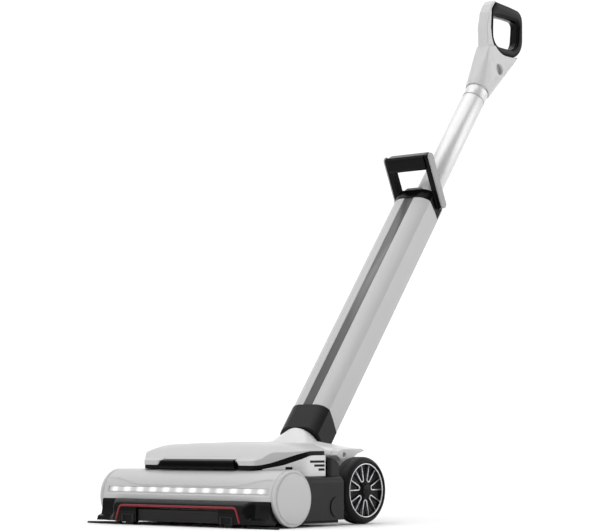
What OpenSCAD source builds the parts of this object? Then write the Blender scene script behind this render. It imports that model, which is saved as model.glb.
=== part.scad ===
// Cordless upright vacuum cleaner: a low floor head on two wheels, a yoke that reclines
// about the wheel axle, and a slim swivelling column with a tube and a loop grip.
// The origin is on the floor, under the middle of the whole machine; the head faces -Y.

/* [Floor head] */
// Width of the floor head over its end caps
head_w = 330; // [328:1:332]
// Radius of the brush housing
barrel_r = 37.5; // [37:0.1:38]
// Highest point of the lid
lid_top = 114; // [112:0.5:116]
// Number of lamps in the front light strip
led_count = 12; // [6:1:14]

/* [Wheels] */
// Radius of the tyres
wheel_r = 46.5; // [46:0.1:46.8]
// Width of each wheel
wheel_w = 28; // [26:0.5:28]
// Number of loops on each wheel's trim
wheel_loops = 7; // [5:1:8]

/* [Column] */
// Lean of the column back from upright
recline = 37.14; // [36:0.1:38]
// Distance from the axle to the top of the column, along the column
column_top = 549; // [540:1:555]
// Diameter of the upper tube
tube_d = 37.5; // [36:0.1:38]
// Thickness of the grip
grip_t = 26; // [24:0.5:28]
// Thickness of the grip's loop
loop_t = 21; // [20:0.5:22]
// Width of the carry handle's strap
handle_w = 15; // [13:0.5:16]

/* [Hidden] */
axle_y = -190.5;
axle_z = wheel_r;
axle_r = 5;
run_gap = 0.05;
gap = 0.4;
wall = 3;
half_w = head_w / 2;
cap_t = 8;
side_x = half_w - cap_t;
barrel = [-173.5, 38.5];
brush = [-178, 30];
brush_r = 29.2;
chamber_r = 31.5;
base_z = 8;
rear_y = -56;
shoulder_x = 144;
lid_x = 147;
lid_front = -185;
lid_edge = 82;
lid_lift = 19.5;
lid_sweep = 70;
band_h = 5.4;
deck_z = 76;
bin_x = 88;
bin_y = [-139, -65];
led_span = [157.6, 171];
wheel_x = 151.5 - wheel_w;
arm_x = [106.5, 118.5];
lug_x = [86, 104];
swivel_tilt = 20;
swivel_s = 74.4;
swivel_n = 4.1;
bolt_r = 5.9;
col_x = 35.7;
col_front = 33.3;
col_back = -25;
seam_n = -10;
stripe_x = 8.7;
handle_base = [550, 2];
handle_lean = atan2(67, 36);

dark = "#3a3b3e";
black = "#161719";
light = "#c9cacd";
pale = "#ededee";
silver = "#c4c6ca";
red = "#8c2f33";

// ---------- helpers ----------
function arc(c, r, a0, a1, steps = 8) =
    [for (i = [0:steps]) let (a = a0 + (a1 - a0) * i / steps) c + r * [cos(a), sin(a)]];

function rounded(x0, x1, y0, y1, r) = concat(
    arc([x1 - r, y1 - r], r, 0, 90), arc([x0 + r, y1 - r], r, 90, 180),
    arc([x0 + r, y0 + r], r, 180, 270), arc([x1 - r, y0 + r], r, 270, 360));

function ease(t) = let (u = min(max(t, 0), 1)) u * u * (3 - 2 * u);

function mirrored(points) = concat(points,
    [for (i = [len(points) - 1:-1:0]) [-points[i][0], points[i][1]]]);

// Head parts are drawn with the wheel axle at y = 0.
module in_head() {
    translate([0, axle_y, 0]) children();
}

// Column parts are drawn standing on the axle: +Z up the column, -Y to its front.
module in_column() {
    translate([0, axle_y, axle_z]) rotate([-recline, 0, 0]) children();
}

// A side outline, drawn in (y, z), made a plate from x0 to x1.
module plate_x(x0, x1) {
    translate([x0, 0, 0]) rotate([90, 0, 90]) linear_extrude(x1 - x0) children();
}

module rod_x(x0, x1, r, at = [0, 0]) {
    translate([x0, at[0], at[1]]) rotate([0, 90, 0]) cylinder(h = x1 - x0, r = r, $fn = 64);
}

module both_sides() {
    children();
    mirror([1, 0, 0]) children();
}

// A wall bent round a centre, from angle a0 to a1 in the (y, z) plane.
module curved_wall(x0, x1, c, r_in, r_out, a0, a1, steps = 16) {
    plate_x(x0, x1) polygon(concat(arc(c, r_out, a0, a1, steps), arc(c, r_in, a1, a0, steps)));
}

// ---------- floor head ----------
// Height of the lid's lower edge: level along the front, then swept up along the sides.
function lid_edge_z(y) = lid_edge + lid_lift * ease((y - lid_front) / lid_sweep);
function edge_line(drop, y0, y1, steps = 14) =
    [for (i = [0:steps]) let (y = y0 + (y1 - y0) * i / steps) [y, lid_edge_z(y) - drop]];

// Everything under the lid band.
module below_band(drop) {
    plate_x(-200, 200) polygon(concat([[lid_front - 10, -10]],
        edge_line(drop, lid_front - 10, 30), [[30, -10]]));
}

module at_screws() {
    both_sides() for (y = [-140, -70]) translate([130, y, 4.1]) children();
}

module chassis_outer() {
    tub_side(0);
    translate([0, 0, base_z]) linear_extrude(67 - base_z)
        polygon(rounded(-shoulder_x, shoulder_x, -150, rear_y, 24));
    translate([0, 0, 60]) linear_extrude(37) intersection() {
        polygon(rounded(-shoulder_x, shoulder_x, -150, rear_y, 24));
        lid_plan(3);
    }
    rear_corners(0);
    curved_wall(-side_x + gap, side_x - gap, brush, chamber_r, chamber_r + wall, -38, 62);
    both_sides() rod_x(side_x - 5, side_x - gap, barrel_r - wall - 0.1, barrel);
    both_sides() rod_x(side_x - 4, side_x + 1.5, 14, [-74, 25.5]);
}

module axle_lugs() {
    both_sides() plate_x(lug_x[0], lug_x[1])
        polygon(concat([[rear_y - 1, 64], [rear_y - 1, 20]], arc([0, axle_z], 17, -70, 90)));
}

// The low box between the end discs and the wheels, its long upper edges rounded over.
module tub_side(e) {
    translate([0, -59 - e, 0]) rotate([90, 0, 0]) linear_extrude(91.2 - 2 * e) polygon(concat(
        arc([side_x - 9, 58], 9 - e, 0, 90, 6), arc([9 - side_x, 58], 9 - e, 90, 180, 6),
        [[e - side_x, base_z], [side_x - e, base_z]]));
}

// Two domed rear corners reach back between the axle lugs and the tyres.
module rear_corners(e) {
    intersection() {
        both_sides() translate([0, 0, base_z + e]) linear_extrude(93 - base_z - 2 * e)
            polygon(rounded(121 + e, lid_x - e, -82 - 2 * e, -49 - e, 10 - e));
        plate_x(-lid_x, lid_x) polygon(concat([[-90, 0], [-90, 93 - e]], arc([-80, 62], 31 - e, 90, 0, 6),
            [[-49 - e, 0]]));
    }
}

module chassis() {
    color(dark) in_head() difference() {
        union() {
            intersection() {
                chassis_outer();
                below_band(band_h + gap);
            }
            axle_lugs();
        }
        translate([0, 0, 67 - 2 * wall]) linear_extrude(100) intersection() {
            polygon(rounded(-shoulder_x + wall, shoulder_x - wall, -147, rear_y - wall, 21));
            lid_plan(3 + wall);
        }
        rear_corners(wall);
        intersection() {
            tub_side(wall);
            translate([0, 0, base_z + wall]) linear_extrude(67)
                polygon(rounded(-side_x + wall, side_x - wall, -143, -62, 2));
        }
        rod_x(-side_x + 5, side_x - 5, chamber_r, brush);
        plate_x(-side_x + 5, side_x - 5) polygon([[-230, -1], [-148, -1], [-148, 34], [-230, 34]]);
        plate_x(-62, 62) polygon([[-165, 34], [-140, 34], [-140, 56], [-165, 56]]);
        rod_x(-side_x + 5, -side_x + 14, 17, brush);
        translate([-side_x + 5, -178, 16]) cube([9, 70, 34]);
        rod_x(side_x - 6, side_x + 1, 20, brush);
        rod_x(-120, 120, axle_r, [0, axle_z]);
        at_screws() cylinder(h = 7, r = 1.4, $fn = 32);
    }
}

module hood() {
    color(light) in_head() difference() {
        plate_x(-side_x + gap, side_x - gap) polygon(concat(
            arc(barrel, barrel_r, 185, 90, 24), [[-150.8, deck_z], [-150.8, deck_z - wall]],
            arc(barrel, barrel_r - wall, 90, 185, 24)));
        curved_wall(-132, 132, barrel, barrel_r - 5, barrel_r + 5, led_span[0], led_span[1], 4);
    }
}

module end_disc(x0) {
    rod_x(x0, x0 + cap_t - 1.2, barrel_r, barrel);
    rod_x(x0 + 1, x0 + cap_t, barrel_r - 3.4, barrel);
}

module fixed_end_cap() {
    color(light) in_head() mirror([1, 0, 0]) end_disc(side_x);
}

// The end cap on the open side carries the brush bar's outer bearing stub.
module release_end_cap() {
    color(light) in_head() union() {
        end_disc(side_x);
        rod_x(side_x - 14, side_x + 1, 6, brush);
    }
}

module bumper_line() {
    polygon([
        [-209.5, 34.6], [-211.2, 35.1], [-216, 35.4], [-224, 31], [-226.8, 26],
        [-226.8, 5], [-219, 5], [-219, 24], [-212, 31.5], [-209.5, 32]]);
}

module front_bumper() {
    color(dark) in_head() difference() {
        union() {
            plate_x(-side_x + gap, side_x - gap) bumper_line();
            both_sides() plate_x(80, 104) polygon([[-226, 3.5], [-211.5, 3.5], [-211.5, 14], [-226, 14]]);
            both_sides() plate_x(152.8, side_x - gap)
                polygon([[-223, 5], [-223, 26], [-214, 33.4], [-209, 33.4], [-201, 5]]);
        }
        plate_x(-side_x, side_x) polygon([[-223.8, 4], [-218.9, 4], [-218.9, 23.6], [-223.8, 23.6]]);
        translate([-76.5, -230, 2]) cube([153, 12, 21.4]);
        both_sides() rod_x(84.2, 99.8, 7, [-218.5, 6.6]);
        both_sides() translate([84.2, -224.6, 2]) cube([15.6, 12.2, 4.6]);
        both_sides() rod_x(81.5, 102.5, 1.6 + run_gap, [-218.5, 6.6]);
        both_sides() rod_x(152, side_x, barrel_r - wall + gap, barrel);
    }
}

module trim_line(e) {
    polygon(mirrored(concat([[20, 27.8 - e]], arc([103, 19.2], 8.6 - e, 90, 15, 6),
        [[116.4 - e, 7]], [[116 - e, 5.5]], [[20, 5.5]])));
}

module bumper_trim() {
    color(red) in_head() translate([0, -226.8, 0]) rotate([90, 0, 0]) linear_extrude(1.2) difference() {
        trim_line(0);
        trim_line(2.6);
        translate([-120, 0]) square([240, 6.5]);
    }
}

module sole_plate() {
    color(black) in_head() difference() {
        translate([0, 0, 4]) linear_extrude(base_z - 4 - 0.1)
            polygon(rounded(-side_x + 6, side_x - 6, -210, -62, 3));
        translate([-142, -212, 0]) cube([284, 65, 20]);
        at_screws() cylinder(h = 1.3, r = 3.1, $fn = 32);
        at_screws() cylinder(h = 8, r = 1.5, $fn = 32);
    }
}

module edge_strips() {
    color(black) in_head() both_sides() linear_extrude(3.4)
        polygon([[118, -217], [150, -221], [176, -222], [179, -219], [160, -207], [118, -210.5]]);
}

// A side panel follows the lid's outline, from a thin tip on the deck to the rear corner.
module vent_panel() {
    difference() {
        intersection() {
            union() {
                panel_wall(67.4, -149, -83);
                panel_wall(deck_z + gap, -180, -140);
            }
            below_band(band_h + gap);
        }
        for (i = [0:2]) translate([100, -86 - (33 - 9 * i), 73 + 5 * (2 - i)]) cube([60, 33 - 9 * i, 2.4]);
    }
}

module panel_wall(z, y0, y1) {
    translate([0, 0, z]) linear_extrude(30) intersection() {
        difference() {
            lid_plan(-0.6);
            lid_plan(2.6);
        }
        translate([90, y0]) square([60, y1 - y0]);
    }
}

module vent_panel_left() {
    color(pale) in_head() vent_panel();
}

module vent_panel_right() {
    color(pale) in_head() mirror([1, 0, 0]) vent_panel();
}

module led_lens() {
    color("white", 0.6) in_head() curved_wall(-131.8, 131.8, barrel, barrel_r - 2, barrel_r,
        led_span[0] + 0.3, led_span[1] - 0.3, 4);
}

module led_board() {
    color("#2f6a45") in_head() union() {
        translate([-130, -205.6, 44.5]) cube([260, 1, 7]);
        for (i = [0:led_count - 1])
            translate([-120 + 240 * i / (led_count - 1) - 2.5, -206.7, 46]) cube([5, 1.2, 5]);
    }
}

// ---------- inside the head ----------
module suction_motor() {
    color(silver) in_head() difference() {
        union() {
            rod_x(100, 128, 27, [-97, 44]);
            rod_x(127, 140, 29.5, [-97, 44]);
        }
        rod_x(130, 142, 28.5, [-97, 44]);
    }
}

module motor_fan() {
    color(dark) in_head() union() {
        rod_x(131, 139, 6, [-97, 44]);
        rod_x(131, 132.6, 27.5, [-97, 44]);
        for (a = [0:40:320]) translate([0, -97, 44]) rotate([a, 0, 0])
            translate([132.4, 5, -0.8]) cube([6, 22, 1.6]);
    }
}

module brush_motor() {
    color(silver) in_head() difference() {
        rod_x(-138, -96, 17, [-112, 40]);
        rod_x(-139, -120, 2 + run_gap, [-112, 40]);
    }
}

module motor_pulley() {
    color(black) in_head() union() {
        rod_x(-150, -142, 6, [-112, 40]);
        rod_x(-142.5, -121, 2, [-112, 40]);
    }
}

module belt_line(e) {
    hull() {
        translate(brush) circle(r = 13 + e, $fn = 48);
        translate([-112, 40]) circle(r = 6.4 + e, $fn = 48);
    }
}

module drive_belt() {
    color(black) in_head() plate_x(-149.5, -144.5) difference() {
        belt_line(1.8);
        belt_line(0.4);
    }
}

module control_board() {
    color("#2f6a45") in_head() union() {
        translate([96, -128, 12]) cube([46, 40, 1.6]);
        translate([104, -122, 13.4]) cube([12, 9, 4]);
        translate([124, -116, 13.4]) cube([7, 7, 3]);
    }
}

module axle() {
    color(silver) in_head() rod_x(-149.2, 149.2, axle_r, [0, axle_z]);
}

module chassis_screws() {
    color(silver) in_head() at_screws() union() {
        cylinder(h = 1.2, r = 3, $fn = 32);
        cylinder(h = 6.7, r = 1.4, $fn = 32);
    }
}

module brush_core() {
    color(dark) in_head() difference() {
        union() {
            rod_x(-141, 141, 17, brush);
            rod_x(-150, -140, 13, brush);
        }
        rod_x(141 - 13, 142, 6 + run_gap, brush);
        rod_x(-151, -138, 4 + run_gap, brush);
    }
}

module brush_bristles() {
    color(red) in_head() for (a = [0:60:300]) translate([0, brush[0], brush[1]]) rotate([a, 0, 0])
        translate([-138, 16.8, -1.6]) cube([276, brush_r - 16.8, 3.2]);
}

module front_gate() {
    color(black) in_head() union() {
        plate_x(-76, 76) polygon([[-223.4, 5.4], [-221.2, 5.4], [-221.2, 20], [-223.4, 20]]);
        rod_x(-76, 76, 1.6, [-222.2, 20.8]);
    }
}

module front_roller() {
    rod_x(85.5, 98.5, 6.6, [-218.5, 6.6]);
    rod_x(82, 102, 1.6, [-218.5, 6.6]);
}

module front_roller_left() {
    color(black) in_head() front_roller();
}

module front_roller_right() {
    color(black) in_head() mirror([1, 0, 0]) front_roller();
}

// ---------- dust bin cartridge ----------
function lid_crown(e) = concat([[lid_front + e, lid_edge + 6.5]],
    arc([-118, 30], lid_top - 30 - e, 133, 90, 10), [[-88, lid_top - e], [rear_y - e, lid_top - 1.5 - e]]);

// Across the lid: flat in the middle, then falling to the sides, where it rises with the band.
function lid_section(y, e) = let (rise = lid_edge_z(y) - lid_edge)
    mirrored([[20, lid_top - e], [52, lid_top - 1 - e], [105, lid_top - 8 + rise / 4 - e],
        [lid_x - e, lid_edge + 1.8 + rise - e], [lid_x - e, 30]]);

// A solid through the lid's cross-sections from the front to the back.
module lid_loft(e) {
    stations = concat([lid_front - 10], [for (i = [0:8]) lid_front + lid_sweep * i / 8], [-30]);
    n = len(lid_section(0, e));
    last = len(stations) - 1;
    polyhedron(
        [for (y = stations) for (p = lid_section(y, e)) [p[0], y, p[1]]],
        concat([[for (j = [0:n - 1]) j]], [[for (j = [n - 1:-1:0]) last * n + j]],
            [for (i = [0:last - 1]) for (j = [0:n - 1]) let (k = (j + 1) % n)
                [i * n + j, (i + 1) * n + j, (i + 1) * n + k]],
            [for (i = [0:last - 1]) for (j = [0:n - 1]) let (k = (j + 1) % n)
                [i * n + j, (i + 1) * n + k, i * n + k]]));
}

// Half of the lid's outline from above: a short front, a slanting corner, then a straight side.
function lid_half(e) = concat(arc([98, lid_front + 9], 9 - e, 270, 324, 4), arc([127, -120], 20 - e, 324, 360, 5),
    arc([lid_x - 14, -92], 14 - e, 0, 60, 5), [[96, rear_y - e]]);

module lid_plan(e) {
    polygon(mirrored(lid_half(e)));
}

module lid_form(e) {
    intersection() {
        plate_x(-160, 160) polygon(concat(lid_crown(e), [[rear_y - e, 40], [lid_front + e, 40]]));
        lid_loft(e);
        translate([0, 0, 30]) linear_extrude(120) lid_plan(e);
    }
}

module lid() {
    color(light) in_head() difference() {
        lid_form(0);
        lid_form(2.6);
        below_band(0);
        translate([-73, lid_front - 5, 70]) cube([146, 13, 20.4]);
    }
}

module lid_band() {
    color(black) in_head() difference() {
        intersection() {
            translate([0, 0, 60]) linear_extrude(60) difference() {
                lid_plan(0.8);
                lid_plan(9);
            }
            below_band(0.1);
        }
        below_band(band_h);
        translate([-73, lid_front - 5, 70]) cube([146, 13, 20.4]);
    }
}

module dust_bin() {
    color("#8f9498", 0.6) in_head() difference() {
        translate([0, 0, 12]) linear_extrude(70) polygon(rounded(-bin_x, bin_x, bin_y[0], bin_y[1], 10));
        translate([0, 0, 14]) linear_extrude(80)
            polygon(rounded(-bin_x + 2, bin_x - 2, bin_y[0] + 2, bin_y[1] - 2, 8));
        translate([-58, bin_y[0] - 4, 36]) cube([116, 8, 18]);
        translate([50, bin_y[0] + 20, 30]) cube([60, 36, 30]);
    }
}

module bin_filter() {
    color(pale) in_head() difference() {
        translate([48, bin_y[0] + 14, 16]) cube([16, 46, 62]);
        for (i = [0:4]) translate([47, bin_y[0] + 18 + 8.6 * i, 20]) cube([9, 4, 54]);
    }
}

module bin_latch() {
    color(black) in_head() union() {
        plate_x(-71, 71) polygon([[-187.6, 77.2], [-184.6, 77.2], [-183.4, 87.6], [-178.6, 88.4],
            [-179.4, 89.3], [-185, 89.3], [-187.6, 86]]);
        rod_x(-71, 71, 1.4, [-180, 88]);
    }
}

// ---------- wheels ----------
module on_wheel() {
    in_head() translate([wheel_x, 0, axle_z]) rotate([0, 90, 0]) rotate([0, 0, 180]) children();
}

module tyre() {
    rotate_extrude($fn = 120) polygon(concat([[38.3, 0]],
        arc([wheel_r - 7, 7], 7, -90, 0), arc([wheel_r - 9, wheel_w - 9], 9, 0, 80), [[38.3, wheel_w - 1]]));
}

module wheel_disc() {
    difference() {
        union() {
            cylinder(h = wheel_w - 5, r = 38.1, $fn = 120);
            cylinder(h = wheel_w - 2.2, r = 11.5, $fn = 60);
        }
        translate([0, 0, -1]) cylinder(h = wheel_w - 8, r = 34, $fn = 120);
        translate([0, 0, -1]) cylinder(h = wheel_w + 2, r = axle_r + run_gap, $fn = 48);
    }
    difference() {
        cylinder(h = wheel_w - 6, r = 11, $fn = 60);
        translate([0, 0, -1]) cylinder(h = wheel_w, r = axle_r + run_gap, $fn = 48);
    }
}

function loop_line(e) = concat([[8.6 - e, 36.6], [3.8 - e, 17]], arc([0, 16.4], 3.8 - e, 0, -180, 8),
    [[-3.8 + e, 17], [-8.6 + e, 36.6]]);

module wheel_trim() {
    translate([0, 0, wheel_w - 5]) linear_extrude(3.6) difference() {
        circle(r = 37.9, $fn = 120);
        circle(r = 35.8, $fn = 120);
    }
    for (i = [0:wheel_loops - 1]) rotate([0, 0, 90 + 360 * i / wheel_loops])
        translate([0, 0, wheel_w - 5]) linear_extrude(1.4) difference() {
            polygon(loop_line(0));
            polygon(loop_line(1.1));
        }
}

module hub_cap() {
    translate([0, 0, wheel_w - 2.2]) cylinder(h = 1.6, r = 10, $fn = 7);
}

module tyre_left() {
    color(black) on_wheel() tyre();
}

module tyre_right() {
    color(black) mirror([1, 0, 0]) on_wheel() tyre();
}

module wheel_disc_left() {
    color(dark) on_wheel() wheel_disc();
}

module wheel_disc_right() {
    color(dark) mirror([1, 0, 0]) on_wheel() wheel_disc();
}

module wheel_trim_left() {
    color(silver) on_wheel() wheel_trim();
}

module wheel_trim_right() {
    color(silver) mirror([1, 0, 0]) on_wheel() wheel_trim();
}

module hub_cap_left() {
    color(dark) on_wheel() hub_cap();
}

module hub_cap_right() {
    color(dark) mirror([1, 0, 0]) on_wheel() hub_cap();
}

// ---------- yoke ----------
shoulder_line = [[-15.6, 104.6], [30, 104.6], [36, 101.4], [21, 97.6], [8, 91], [4, 84], [-14, 84],
    [-20, 90], [-26, 95], [-22.4, 101.8]];

module yoke_arm() {
    difference() {
        plate_x(arm_x[0], arm_x[1]) polygon(concat(
            [[-15.6, 104.6], [30, 104.6], [36, 101.4], [21, 97.6], [8, 91]],
            arc([0, axle_z], 12, 20, -200, 16), [[-18, 88], [-26, 95], [-22.4, 101.8]]));
        rod_x(arm_x[0] - 1, arm_x[1] + 1, axle_r + run_gap, [0, axle_z]);
        rod_x(arm_x[1] - 7, arm_x[1] + 1, 3.2, [-10, 95.8]);
    }
}

module yoke_arm_left() {
    color(pale) in_head() yoke_arm();
}

module yoke_arm_right() {
    color(pale) in_head() mirror([1, 0, 0]) yoke_arm();
}

module yoke_screws() {
    color(silver) in_head() both_sides() union() {
        rod_x(arm_x[1] - 7, arm_x[1] - 4.6, 3, [-10, 95.8]);
    }
}

module at_swivel() {
    translate([0, -swivel_n, swivel_s]) rotate([-swivel_tilt, 0, 0]) children();
}

module bridge_half() {
    hull() {
        in_head() plate_x(arm_x[0] - 2, arm_x[0] - 0.1) polygon(shoulder_line);
        in_head() plate_x(32, 34) polygon([[-10, 113], [22, 116], [40, 110], [34, 97], [-8, 92], [-22, 98]]);
    }
}

module yoke_bridge() {
    color(pale) difference() {
        union() {
            both_sides() bridge_half();
            hull() {
                in_head() plate_x(-33, 33) polygon([[5, 113], [22, 116], [40, 110], [34, 97], [-8, 92], [-16, 100]]);
                in_column() at_swivel() translate([0, 0, -4]) cylinder(h = 3.4, r = 32.2, $fn = 32);
            }
            in_column() at_swivel() translate([0, 0, -1]) cylinder(h = 17, r = 14, $fn = 64);
        }
        in_column() at_swivel() translate([0, 0, -60]) cylinder(h = 100, r = bolt_r + run_gap, $fn = 48);
        in_column() at_swivel() translate([0, 0, -60]) cylinder(h = 40, r = 11, $fn = 48);
    }
}

// ---------- column ----------
function column_half(e) = concat([[0, -(col_front + e)], [14, -(col_front + e)]],
    [for (p = arc([14, 6.8], 26.5 + e, 90, 35, 8)) [p[0], -p[1]]],
    [[col_x + e, -seam_n], [20 + e, -(col_back - e)], [0, -(col_back - e)]]);

module column_section(e) {
    polygon(mirrored(column_half(e)));
}

// The edge where the collar ends and the column begins, in (y, z) of the column.
function collar_edge(e) = concat([[-40, 127.5 + e], [-30, 127.5 + e]],
    [for (i = [1:10]) let (t = i / 10) [-30 + 58 * t, 127.5 - 31 * pow(t, 1.35) + e]], [[40, 94 + e]]);

module under_collar_edge(e) {
    plate_x(-60, 60) polygon(concat(collar_edge(e), [[40, -40], [-40, -40]]));
}

// The edge where the column ends and the battery cap begins.
function cap_edge(e) = concat([[-40, 538.5 + e], [-28, 538.5 + e]],
    [for (i = [1:8]) let (t = i / 8) [-28 + 36 * t, 538.5 - 11.5 * pow(t, 1.6) + e]],
    [[8.6 - e, 527 + e], [8.6 - e, 700], [-40, 700]]);

module above_cap_edge(e) {
    plate_x(-60, 60) polygon(cap_edge(e));
}

module collar() {
    color(black) in_column() difference() {
        intersection() {
            translate([0, 0, 40]) linear_extrude(100) column_section(0.7);
            under_collar_edge(0);
            at_swivel() translate([-60, -60, 0.3]) cube([120, 120, 90]);
        }
        at_swivel() translate([0, 0, -1]) cylinder(h = 18, r = 14 + run_gap, $fn = 64);
        at_swivel() translate([0, 0, -1]) cylinder(h = 27, r = bolt_r, $fn = 48);
        translate([0, 0, 98]) linear_extrude(60) column_section(-6);
    }
}

// The pivot bolt is screwed into the collar and turns in the yoke's neck.
module swivel_bolt() {
    color(silver) in_column() at_swivel() union() {
        translate([0, 0, -21]) cylinder(h = 47, r = bolt_r, $fn = 48);
        translate([0, 0, -27]) cylinder(h = 6.6, r = 9.5, $fn = 6);
    }
}

module column_front_half(e) {
    intersection() {
        translate([0, 0, 90]) linear_extrude(column_top - 90) column_section(e);
        translate([-60, -60, 0]) cube([120, 60 - seam_n - 0.15, 700]);
    }
}

module column_shell() {
    color(light) in_column() difference() {
        column_front_half(0);
        translate([0, 0, 80]) linear_extrude(600) column_section(-2.4);
        under_collar_edge(0.2);
        above_cap_edge(-0.3);
        translate([-stripe_x, -40, 80]) cube([2 * stripe_x, 40 - col_front + 1.2, 600]);
    }
}

module column_back() {
    color(light) in_column() difference() {
        translate([0, 0, 90]) linear_extrude(column_top + 4 - 90) column_section(0);
        translate([-60, -60, 0]) cube([120, 60 - seam_n + 0.15, 700]);
        translate([0, 0, 80]) linear_extrude(column_top - 8 - 80) column_section(-2.4);
        under_collar_edge(0.2);
        translate([0, 0, 300]) cylinder(h = 400, r = tube_d / 2, $fn = 96);
        translate([0, 20, 150]) rotate([-90, 0, 0]) cylinder(h = 20, r = 5, $fn = 48);
    }
}

module column_stripe() {
    color("#6b6d70") in_column() difference() {
        translate([-stripe_x + 0.1, -(col_front - 0.3), 100]) cube([2 * stripe_x - 0.2, 0.8, 460]);
        under_collar_edge(0.2);
        above_cap_edge(-0.3);
    }
}

module charge_inlet() {
    color(black) in_column() translate([0, 14, 150]) rotate([-90, 0, 0]) difference() {
        cylinder(h = 11, r = 4.9, $fn = 48);
        translate([0, 0, 3]) cylinder(h = 12, r = 2.8, $fn = 48);
    }
}

module upper_tube() {
    color(pale) in_column() difference() {
        translate([0, 0, 440]) cylinder(h = 400, r = tube_d / 2, $fn = 120);
        translate([0, 0, 430]) cylinder(h = 420, r = tube_d / 2 - 1.6, $fn = 120);
    }
}

module tube_ring() {
    color(light) in_column() translate([0, 0, 785]) difference() {
        cylinder(h = 1.6, r = tube_d / 2 + 0.25, $fn = 120);
        translate([0, 0, -1]) cylinder(h = 4, r = tube_d / 2, $fn = 120);
    }
}

module wiring() {
    color(red) in_column() union() {
        translate([0, 6, 160]) cylinder(h = 640, r = 2.4, $fn = 24);
    }
}

// ---------- grip, outlined in (y, z) like the head parts ----------
arm_front = [[500, 738], [504, 768], [503, 801], [509, 826], [518, 841], [526, 848]];

// The loop's outline: a rounded D, flatter along its top bar.
function loop_outline(e) = concat(
    [[530, 848 - e], [573, 844.5 - e]], arc([592, 826], 17 - e, 65, 0, 4),
    arc([574, 792], 35 - e, 0, -85, 8), arc([552, 793], 36 - e, -95, -165, 6),
    [[514.5 + e, 800], [517 + e, 832]]);

function loop_opening() = concat(
    [[523, 820], [560, 821.5]], arc([587, 811], 10, 80, 10, 4),
    arc([572, 793], 22, -15, -85, 6), arc([541, 791], 20, -100, -170, 6));

module on_grip(t, points) {
    in_head() plate_x(-t / 2, t / 2) polygon(points);
}

module grip_housing() {
    color(pale) difference() {
        union() {
            hull() {
                in_column() translate([0, 0, 806]) cylinder(h = 26, r = tube_d / 2 + 2.4, $fn = 32);
                on_grip(grip_t, concat([[500, 738], [504, 768], [515, 771]],
                    arc([552, 793], 38, -120, -90, 3), [[590, 759]], [[561, 737]]));
            }
            on_grip(loop_t, concat(arm_front, [[532, 847], [530, 800], [531, 765], [504, 760]]));
        }
        in_column() translate([0, 0, 760]) cylinder(h = 80, r = tube_d / 2, $fn = 96);
        in_column() translate([0, 2, 800]) cylinder(h = 70, r = 10.5, $fn = 32);
        on_grip(14, [[507, 762], [507, 800], [514, 828], [524, 842], [526, 800], [530, 762]]);
        on_grip(60, loop_outline(-0.2));
        in_head() translate([0, 527, 729.8]) rotate([0, 90, 0]) cylinder(h = 30, r = 9, $fn = 48);
    }
}

module grip_loop() {
    color(black) difference() {
        on_grip(loop_t - 0.4, loop_outline(0));
        on_grip(60, loop_opening());
    }
}

module power_button() {
    color("#8f9194") in_head() translate([0, 527, 729.8]) rotate([0, 90, 0]) union() {
        translate([0, 0, 6]) cylinder(h = 6.4, r = 8.6, $fn = 48);
        translate([0, 0, 3]) cylinder(h = 3, r = 3, $fn = 24);
    }
}

// ---------- battery pack with its carry handle ----------
// A flat pack between the tube and the column's front wall.
module pack_section(e) {
    intersection() {
        column_section(-3 - e);
        translate([-29 + e, -30.2 + e]) square([58 - 2 * e, 10.4 - 2 * e]);
    }
}

module battery_case() {
    color(dark) in_column() difference() {
        translate([0, 0, 292]) linear_extrude(240) pack_section(0);
        translate([0, 0, 293.4]) linear_extrude(237) pack_section(1.2);
    }
}

module battery_cells() {
    color("#7f9bb0") in_column() for (i = [0:2])
        translate([0, 0, 295 + 78 * i]) linear_extrude(75) pack_section(1.5);
}

// Handle parts are drawn flat: x across, y along the loop, extruded through its width.
module on_handle() {
    in_column() translate([0, -handle_base[1], handle_base[0]]) rotate([handle_lean, 0, 0])
        children();
}

module loop_blank(x_out, u0, u1, r) {
    polygon(rounded(-x_out, x_out, u0, u1, r));
}

module carry_handle() {
    color(black) difference() {
        union() {
            in_column() intersection() {
                translate([0, 0, 520]) linear_extrude(36) column_section(0.7);
                above_cap_edge(0);
            }
            on_handle() translate([0, handle_w / 2, 0]) rotate([90, 0, 0]) linear_extrude(handle_w) difference() {
                loop_blank(42, -8, 84, 7);
                loop_blank(33, 14, 67, 5);
            }
        }
        in_column() translate([0, 0, 400]) cylinder(h = 260, r = tube_d / 2 + gap, $fn = 96);
        in_column() translate([-tube_d / 2 - gap, 0, 400]) cube([tube_d + 2 * gap, 80, 260]);
        in_column() translate([0, 0, 400]) linear_extrude(132) pack_section(0);
        in_column() translate([-17.5, -33, 541]) cube([35, 9, 30]);
    }
}

module handle_side_covers() {
    color("#a9abae") both_sides() on_handle() translate([42, 0, 0]) rotate([90, 0, 90]) linear_extrude(3)
        polygon(concat(arc([0, 78], 6.4, 0, 180, 10), arc([0, -1], 6.4, 180, 360, 10)));
}

module release_button() {
    color("#85878a") in_column() translate([-17, -32.6, 545.5]) cube([34, 8.4, 16]);
}

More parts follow.
